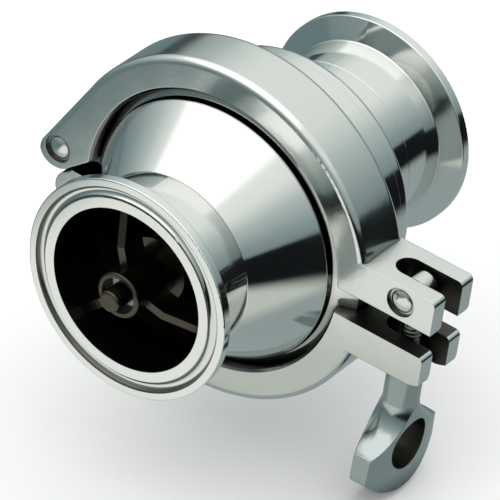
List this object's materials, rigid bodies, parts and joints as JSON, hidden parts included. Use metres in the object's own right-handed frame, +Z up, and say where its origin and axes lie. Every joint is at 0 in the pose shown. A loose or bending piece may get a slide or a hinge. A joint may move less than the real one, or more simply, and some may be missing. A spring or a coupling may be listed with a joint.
{
  "type": "in-line spring check valve",
  "caption": "Sanitary in-line spring check valve: clamp ferrule ends, conical outlet, drum inlet, spring poppet and a hinged body clamp with a wing nut.",
  "frame": {"origin": "on the flow axis at the middle of the inlet ferrule rim", "axes": "+X along the flow axis towards the outlet, +Y towards the clamp lugs, +Z up with the swing bolt hanging down"},
  "size_m": [0.1191, 0.1296, 0.1133],
  "materials": {
    "body_steel": "polished turned stainless steel",
    "clamp_steel": "polished cast stainless steel",
    "inner_steel": "satin stainless steel",
    "gasket_rubber": "matt moulded rubber",
    "guide_plastic": "white fluoropolymer"
  },
  "bodies": {
    "valve_body": {"outlet_end_ferrule": "body_steel", "outlet_cone": "body_steel", "outlet_joint_ferrule": "body_steel", "body_gasket": "gasket_rubber", "inlet_joint_ferrule": "body_steel", "inlet_drum": "body_steel", "inlet_end_plate": "body_steel", "inlet_neck_tube": "body_steel", "inlet_end_ferrule": "body_steel", "guide_vanes": "inner_steel", "guide_hub": "inner_steel", "guide_bush": "guide_plastic", "spring_washer": "inner_steel", "closing_spring": "inner_steel", "clamp_upper_half": "clamp_steel", "hinge_pin": "clamp_steel", "bolt_pivot_pin": "clamp_steel"},
    "poppet": {"poppet_disc": "inner_steel", "poppet_stem": "inner_steel", "seat_seal": "gasket_rubber", "seal_retainer": "inner_steel", "retainer_nut": "inner_steel"},
    "clamp_jaw": {"clamp_lower_half": "clamp_steel"},
    "bolt": {"swing_bolt": "clamp_steel"},
    "washer": {"nut_washer": "clamp_steel"},
    "nut": {"wing_nut": "clamp_steel"}
  },
  "joints": [
    {"name": "poppet_lift", "type": "slide", "parent": "valve_body", "child": "poppet", "axis": [1, 0, 0], "range_m": [0, 0.011], "stiffness_N_per_m": 3700, "springref_m": -0.0047, "deforming": ["closing_spring"]},
    {"name": "clamp_open", "type": "hinge", "parent": "valve_body", "child": "clamp_jaw", "pos_m": [0.06442, -0.05144, 0.0076], "axis": [-1, 0, 0], "range_deg": [0, 4.25]},
    {"name": "bolt_swing", "type": "hinge", "parent": "valve_body", "child": "bolt", "pos_m": [0.06442, 0.06129, 0.00025], "axis": [1, 0, 0], "range_deg": [0, 110]},
    {"name": "nut_travel", "type": "slide", "parent": "bolt", "child": "washer", "axis": [0, -0.1461, -0.9893], "range_m": [0, 0.00889]},
    {"name": "nut_spin", "type": "hinge", "parent": "washer", "child": "nut", "pos_m": [0.06442, 0.05703, -0.02864], "axis": [0, -0.1461, -0.9893], "range_deg": [0, 2521]}
  ],
  "couplings": [
    {"joint": "nut_spin", "follows": "nut_travel", "rad_per_m": 4947.4},
    {"joint": "clamp_open", "follows": "nut_travel", "rad_per_m": 8.3333}
  ]
}
